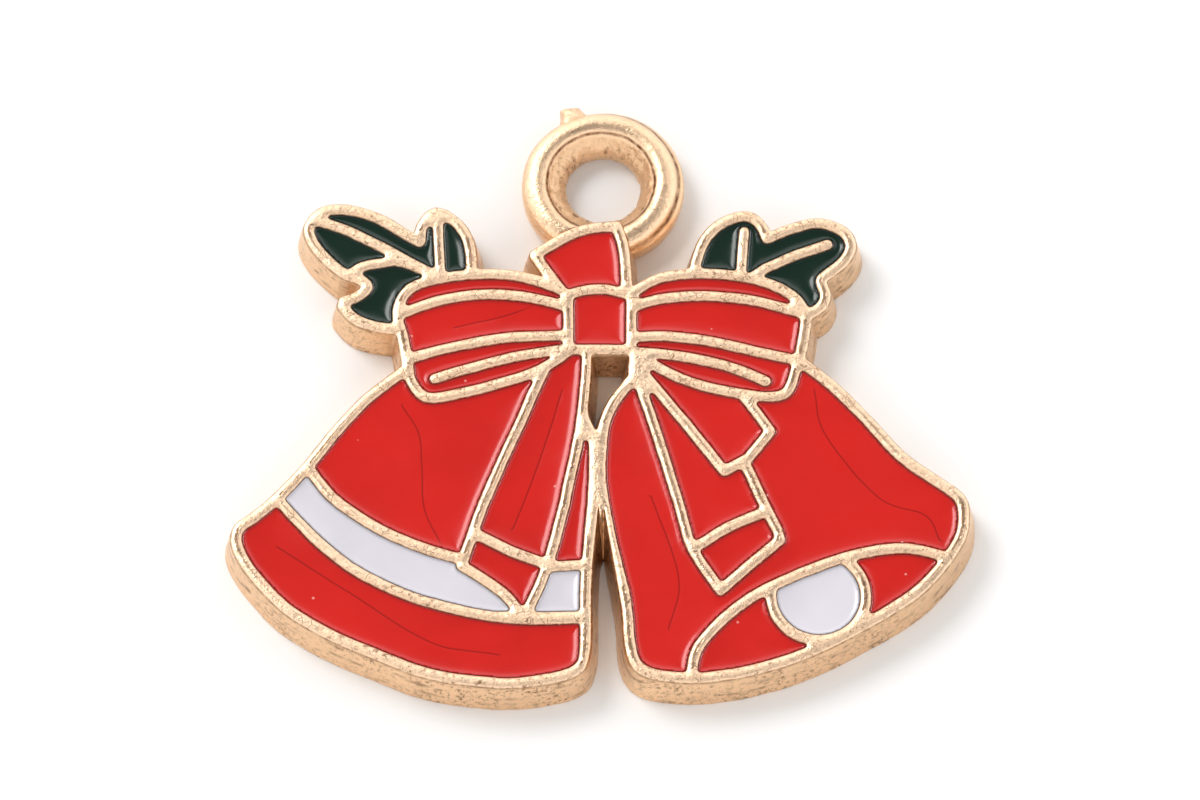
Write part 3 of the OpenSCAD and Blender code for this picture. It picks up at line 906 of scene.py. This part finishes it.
def loop_net(loop):
    """The loop: a closed profile of radius and height turned about the hole's axis.
    The front half of the profile sits a little to one side of the back half, and
    grain along both directions roughens the bevel more than the band."""
    band, bevel, t = loop.band / MM, loop.bevel / MM, PLATE_T
    outer = HOLE_R + band
    r = np.array(
        [HOLE_R + 0.18, HOLE_R + 0.05, HOLE_R, HOLE_R, HOLE_R + 0.03, HOLE_R + 0.16,
         HOLE_R + 0.32, HOLE_R + bevel - 0.06, HOLE_R + bevel - 0.02,
         HOLE_R + bevel + 0.03, HOLE_R + bevel + 0.12, HOLE_R + bevel + 0.24,
         outer - 0.5, outer - 0.36, outer - 0.24, outer - 0.15, outer - 0.1,
         outer - 0.07, outer - 0.03, outer, outer, outer - 0.03, outer - 0.12,
         outer - 0.3, outer - 0.6]
    )
    z = np.array(
        [0.08, 0.13, 0.27, 0.45, 0.58, 0.76, 0.9, 1.0, 1.05, 1.12, 1.18, 1.215, 1.215,
         1.18, 1.11, 1.01, 0.9, 0.82, 0.79, 0.7, 0.45, 0.28, 0.15, 0.09, 0.08]
    ) * t / 1.3
    fine = 6
    at = np.arange(len(r) * fine) / fine
    r, z = (np.interp(at, np.arange(len(r) + 1), np.append(p, p[0])) for p in (r, z))
    soft = np.exp(-0.5 * (np.fft.fftfreq(len(r)) * 2 * np.pi * 3.2) ** 2)
    r, z = (np.fft.ifft(np.fft.fft(p) * soft).real for p in (r, z))
    r, z = r[::2], z[::2]
    turns = 300
    angle = np.arange(turns) * 2 * np.pi / turns
    n, a = np.meshgrid(np.arange(len(r)), angle, indexing="ij")
    rr, zz = r[:, None] + 0 * a, z[:, None] + 0 * a
    arc_length = a * 2.0
    whole = 4 * np.pi
    inner = np.clip((HOLE_R + bevel - 0.02 - rr) / 0.1, 0, 1) * np.clip((zz - 0.2) / 0.2, 0, 1)
    rough = 0.012 + 0.03 * inner
    rr = rr + rough * grain(arc_length, n * 0.05, (0.35, 0.3), 91, whole)
    zz = zz + 0.6 * rough * grain(arc_length, n * 0.05, (0.4, 0.3), 101, whole)
    swell = 0.03 * waves(arc_length, 0 * a, (2.2, 1.0), 111, whole)
    rr = rr + swell * np.clip((rr - HOLE_R - bevel) / band, 0, 1)
    front = np.clip((zz / t - 0.62) / 0.12, 0, 1)
    shift = loop.mismatch / MM * front
    x = LOOP_AT[0] + rr * np.cos(a) - shift * math.cos(math.radians(25))
    y = LOOP_AT[1] + rr * np.sin(a) - shift * math.sin(math.radians(25)) * 0.4
    points = np.stack([x, y, zz], axis=-1).reshape(-1, 3)
    rows = np.vstack([points, points[:turns]])
    tri = grid_faces(len(r) + 1, turns)[:, ::-1]
    ledge = np.exp(-(((n - len(r) * 0.63) / 2.0) ** 2))
    ledge = ledge * np.clip(np.cos(a - math.radians(20)) + 0.3, 0, 1)
    lip = np.exp(-(((n - len(r) * 0.335) / 1.7) ** 2))
    pits = np.clip(2.5 * grain(arc_length, n * 0.05, (0.3, 0.25), 131, whole) - 0.9, 0, 0.8)
    crease = np.clip(1.4 * lip + 1.2 * ledge + inner * (0.1 + pits), 0, 1)
    side = np.maximum(0.55, np.maximum(0.9 * inner, np.clip((0.85 - zz / t) / 0.1, 0, 1)))
    values = np.stack([crease, 0 * crease, side, 0.1 + 0.7 * inner], axis=-1)
    values = np.vstack([values.reshape(-1, 4), values[0]])
    return tucked(rows), tri, values


def tucked(points):
    """Points of the loop that lie inside the plate's outline, sunk under its pockets:
    the further in, the deeper, by 0.5 mm over 0.07 mm."""
    front = walls()[0][0]
    index, far = nearest(points[:, :2], front)
    inward = ((front[index] - points[:, :2]) * outward(front)[index]).sum(1) > 0
    roof = PLATE_T - 0.08 - 0.5 * np.clip(far / 0.07, 0, 1)
    z = np.where(inward, np.minimum(points[:, 2], roof), points[:, 2])
    return np.column_stack([points[:, :2], z])


def stub_net(loop):
    """The snapped gate: a squared oval carried outwards from the loop, flared and
    tilted at its broken end, with both ends closed by shrinking the oval to a point."""
    reach = HOLE_R + loop.band / MM
    s = np.array([0, 0, 0.12, 0.24, 0.34, 0.42, 0.48, 0.53, 0.57, 0.6, 0.6])
    size = np.array([0.0, 1.6, 1.5, 1.35, 1.2, 1.08, 1.0, 0.98, 0.9, 0.66, 0.0])
    turns = 48
    angle = np.arange(turns) * 2 * np.pi / turns
    k, a = np.meshgrid(np.arange(len(s)), angle, indexing="ij")
    wide = 0.3 * np.sign(np.cos(a)) * abs(np.cos(a)) ** 0.6 * size[k]
    tall = 0.3 * np.sign(np.sin(a)) * abs(np.sin(a)) ** 0.6 * size[k]
    knob = 1 + 0.2 * grain(a * 0.3, k * 0.1, (0.25, 0.3), 121, 0.6 * np.pi)
    along = reach - 0.3 + s[k] * (0.3 + loop.stub / MM) / 0.6
    along = along + 0.25 * wide * np.clip((s[k] - 0.35) / 0.2, 0, 1) * -1
    d = math.radians(GATE_ANGLE)
    x = LOOP_AT[0] + along * math.cos(d) + wide * knob * math.sin(d)
    y = LOOP_AT[1] + along * math.sin(d) - wide * knob * math.cos(d)
    z = 0.62 * PLATE_T / 1.3 + tall * knob
    points = np.stack([x, y, z], axis=-1).reshape(-1, 3)
    return points, grid_faces(len(s), turns)[:, ::-1], (0.2, 0.0, 0.5, 0.6)


class CHARM_OT_loop(Operator):
    """Build the hanging loop with the stub of its casting gate"""

    bl_idname = "charm.loop"
    bl_label = "Hanging loop"

    def execute(self, context):
        loop = context.scene.charm_loop
        points, tri, values = joined([loop_net(loop), stub_net(loop)])
        points[:, :2] = wobble(points[:, :2])
        piece(
            "cast_hanging_loop",
            points,
            tri,
            np.zeros(len(tri), bool),
            dict(zip(METAL_VALUES, values.T)),
            gold_plating(),
            ["casting"],
        )
        return {"FINISHED"}


# ---- Enamel ----

# Hairline flow marks in the enamel, by the drop they lie in, as points in millimetres
FLOW_MARKS = {
    "red_bell_left_body": [[(-5.9, -0.3), (-5.4, -1.2), (-5.3, -2.2), (-5.2, -3.6), (-4.7, -4.8)]],
    "red_bell_right_body": [
        [(6.2, 0.2), (6.5, -1.2), (8.0, -3.2), (9.4, -3.8), (9.8, -4.6)],
        [(1.4, -3.2), (2.2, -5.8), (1.9, -7.4)],
    ],
    "red_bell_left_rim": [[(-9.5, -4.8), (-7.3, -6.3), (-5.0, -7.8), (-3.0, -8.2)]],
    "red_tail_left_main": [[(-1.2, 0.2), (-1.9, -2.2), (-2.6, -4.2)]],
    "red_bow_left_stripe": [[(-2.0, 2.9), (-3.2, 2.5), (-4.4, 2.2)]],
}


def strand(points, step=0.04):
    """Points along a smooth open curve: each stretch is a Catmull-Rom cubic."""
    p = np.array(points, float)
    p = np.vstack([2 * p[0] - p[1], p, 2 * p[-1] - p[-2]])
    t = np.linspace(0, 1, 41)[:, None]
    a, b, c, d = (p[k : len(p) - 3 + k, None] for k in range(4))
    curve = 0.5 * (
        2 * b + (c - a) * t + (2 * a - 5 * b + 4 * c - d) * t**2
        + (3 * b - a - 3 * c + d) * t**3
    )
    curve = curve.reshape(-1, 2)
    run = np.concatenate([[0], np.cumsum(np.hypot(*np.diff(curve, axis=0).T))])
    at = np.arange(0, run[-1], step)
    return np.stack([np.interp(at, run, curve[:, k]) for k in (0, 1)], axis=1)


def drop_net(node, settings):
    """A drop of enamel that fills its pocket. Its top is the fill height plus a
    meniscus that falls off as exp(-d / 0.05) with the distance d from the ridge, a
    wider sag as exp(-d / 0.45), a slow swell, and a shallow groove on flow marks."""
    edge = pocket(node)
    rim = edge + 0.003 * outward(edge)
    fine, wide = hexes([rim], 0.06), hexes([rim], 0.15)
    _, d_fine = nearest(fine, rim)
    _, d_wide = nearest(wide, rim)
    loose = [
        fine[(d_fine > 0.04) & (d_fine < 0.24)],
        wide[d_wide >= 0.25],
    ]
    marks = [strand(m) - CENTRE for m in FLOW_MARKS.get(node, [])]
    line = np.vstack(marks) if marks else np.full((1, 2), 99.0)
    if marks:
        side = 0.035 * outward(line)
        loose = [p[nearest(p, line)[1] > 0.07] for p in loose]
        loose += [q[nearest(q, rim)[1] > 0.05] for q in (line, line + side, line - side)]
    loose = np.vstack(loose)
    index, _ = nearest(loose, rim)
    loose = loose[((loose - rim[index]) * outward(rim)[index]).sum(1) < 0]
    top, net = filled([rim], loose)
    _, d = nearest(top, even(rim, 0.01))
    d = np.where(nearest(top, rim)[1] < 1e-5, 0.0, d)
    _, off = nearest(top, line)
    flow = np.clip(1 - off / 0.03, 0, 1) * np.clip(d / 0.3, 0, 1)
    z = (
        FILL_Z
        - 0.03
        + settings.meniscus / MM * np.exp(-d / 0.05)
        - settings.sag / MM * (1 - np.exp(-d / 0.45))
        + 0.008 * waves(top[:, 0], top[:, 1], 2.4, 131)
        - 0.004 * flow
    )
    # Painted shade: a dark band within about 0.05 mm of the ridge, and the hidden sides and bottom
    # of the drop fully dark.
    margin = 0.75 * np.exp(-((d / 0.045) ** 2))
    parts = [(np.column_stack([top, z]), net, (0.0,))]
    rim_z = FILL_Z - 0.03 + settings.meniscus / MM + 0.008 * waves(rim[:, 0], rim[:, 1], 2.4, 131)
    side = np.stack(
        [np.column_stack([rim, np.full(len(rim), FLOOR_Z)]), np.column_stack([rim, rim_z])]
    )
    parts.append((side.reshape(-1, 3), grid_faces(2, len(rim)), (0.0,)))
    base, low = filled([rim])
    parts.append((np.column_stack([base, np.full(len(base), FLOOR_Z)]), low[:, ::-1], (0.0,)))
    points, tri, _ = joined(parts)
    up = points[:, 2] > FLOOR_Z + 0.01
    index, _ = nearest(points[:, :2], top)
    flat = ~np.all(up[tri], axis=1)
    values = {"margin": np.where(up, margin[index], 1.0), "flow": flow[index] * up}
    points[:, :2] = wobble(points[:, :2])
    return points, tri, flat, values


def build_drops(context, start, rgb, deep, pale):
    """Builds every drop whose node name starts with start."""
    for node in enamel_nodes():
        if node.startswith(start):
            points, tri, flat, values = drop_net(node, context.scene.charm_enamel)
            finish = enamel(start + "_enamel", rgb, colour(deep), colour(pale))
            piece(node + "_drop", points, tri, flat, values, finish, [node])


class CHARM_OT_red(Operator):
    """Fill the bells, the bow, the knot and the ribbon tails with red enamel"""

    bl_idname = "charm.red"
    bl_label = "Red enamel"

    def execute(self, context):
        rgb = context.scene.charm_enamel.red
        build_drops(context, "red", rgb, (0.16, 0.004, 0.003), (0.9, 0.5, 0.45))
        return {"FINISHED"}


class CHARM_OT_white(Operator):
    """Fill the band and the clapper with white enamel"""

    bl_idname = "charm.white"
    bl_label = "White enamel"

    def execute(self, context):
        rgb = context.scene.charm_enamel.white
        build_drops(context, "white", rgb, (0.3, 0.28, 0.3), (0.9, 0.9, 0.95))
        return {"FINISHED"}


class CHARM_OT_green(Operator):
    """Fill the holly leaves with dark green enamel"""

    bl_idname = "charm.green"
    bl_label = "Green enamel"

    def execute(self, context):
        rgb = context.scene.charm_enamel.green
        build_drops(context, "green", rgb, (0.002, 0.006, 0.004), (0.05, 0.12, 0.08))
        return {"FINISHED"}


# The middle of the drawing that the flow marks are placed on
CENTRE = np.array([0.0, 7.0]) - LOOP_AT


# ---- Stage ----


def tent(stage):
    """Light tent: bright walls all round that fade to a darker roof."""
    world = bpy.data.worlds.new("tent")
    world.use_nodes = True
    tree = world.node_tree
    at = tree.nodes.new("ShaderNodeTexCoord")
    split = tree.nodes.new("ShaderNodeSeparateXYZ")
    tree.links.new(at.outputs["Generated"], split.inputs[0])
    fade = tree.nodes.new("ShaderNodeMapRange")
    fade.interpolation_type = "SMOOTHSTEP"
    tree.links.new(split.outputs["Z"], fade.inputs["Value"])
    for socket, value in (
        ("From Min", 0.6),
        ("From Max", 0.88),
        ("To Min", stage.sky),
        ("To Max", stage.roof),
    ):
        fade.inputs[socket].default_value = value
    tree.links.new(fade.outputs[0], tree.nodes["Background"].inputs["Strength"])
    tree.nodes["Background"].inputs["Color"].default_value = (1.0, 1.0, 1.0, 1.0)
    return world


class CHARM_OT_stage(Operator):
    """Lay out the table, the light and the camera"""

    bl_idname = "charm.stage"
    bl_label = "Table, light and camera"

    def execute(self, context):
        stage = context.scene.charm_stage
        f = Finish("table")
        at = f.place()
        f.feed(
            f.shader,
            [
                ("Base Color", f.mix(f.noise(at, 0.2), (0.92,) * 3 + (1,), (0.95,) * 3 + (1,))),
                ("Roughness", 0.7),
                ("Specular IOR Level", 0.2),
            ],
        )
        side = 1.5
        mesh = bpy.data.meshes.new("table")
        z = -0.00001
        mesh.from_pydata(
            [(-side, -side, z), (side, -side, z), (side, side, z), (-side, side, z)],
            [],
            [(0, 1, 2, 3)],
        )
        table = bpy.data.objects.new("table", mesh)
        mesh.materials.append(f.material)
        context.scene.collection.objects.link(table)

        context.scene.world = tent(stage)
        context.scene.view_settings.view_transform = "Standard"

        light = bpy.data.lights.new("key", "AREA")
        light.shape = "DISK"
        light.size = 0.17
        light.energy = stage.key
        lamp = bpy.data.objects.new("key", light)
        spot = Vector((-0.175, 0.158, 0.26))
        lamp.location = spot
        lamp.rotation_euler = (-spot).to_track_quat("-Z", "Y").to_euler()
        context.scene.collection.objects.link(lamp)

        lens = bpy.data.cameras.new("camera")
        lens.lens = 250
        lens.sensor_width = 36
        lens.clip_start = 0.005
        camera = bpy.data.objects.new("camera", lens)
        aim = Vector((0.0, 0.0, 0.5 * PLATE_T * MM))
        away = Vector((0.0, -math.cos(stage.elevation), math.sin(stage.elevation)))
        camera.location = aim + away * stage.distance
        camera.rotation_euler = (-away).to_track_quat("-Z", "Y").to_euler()
        context.scene.collection.objects.link(camera)
        context.scene.camera = camera
        return {"FINISHED"}


class CHARM_PT_panel(Panel):
    """Lists what builds the charm."""

    bl_label = "Bell charm"
    bl_space_type = "VIEW_3D"
    bl_region_type = "UI"
    bl_category = "Bell charm"

    def draw(self, context):
        for operator in OPERATORS:
            self.layout.operator(operator.bl_idname)
        for key in SETTINGS:
            group = getattr(context.scene, key)
            box = self.layout.box()
            for name in group.bl_rna.properties.keys():
                if name not in {"name", "rna_type"}:
                    box.prop(group, name)


SETTINGS = {
    "charm_plate": CharmPlateSettings,
    "charm_loop": CharmLoopSettings,
    "charm_enamel": CharmEnamelSettings,
    "charm_stage": CharmStageSettings,
}
OPERATORS = (
    CHARM_OT_plate,
    CHARM_OT_loop,
    CHARM_OT_red,
    CHARM_OT_white,
    CHARM_OT_green,
    CHARM_OT_stage,
)
CLASSES = (*SETTINGS.values(), *OPERATORS, CHARM_PT_panel)


def register():
    """Makes the operators, the panel and the settings known to Blender."""
    for item in CLASSES:
        bpy.utils.register_class(item)
    for key, group in SETTINGS.items():
        setattr(bpy.types.Scene, key, PointerProperty(type=group))


def unregister():
    """Takes them away again, the last one first."""
    for key in SETTINGS:
        delattr(bpy.types.Scene, key)
    for item in reversed(CLASSES):
        bpy.utils.unregister_class(item)


def main():
    """Registers the classes and builds every piece and the stage."""
    register()
    bpy.ops.charm.plate()
    bpy.ops.charm.loop()
    bpy.ops.charm.red()
    bpy.ops.charm.white()
    bpy.ops.charm.green()
    bpy.ops.charm.stage()


if __name__ == "__main__":
    main()
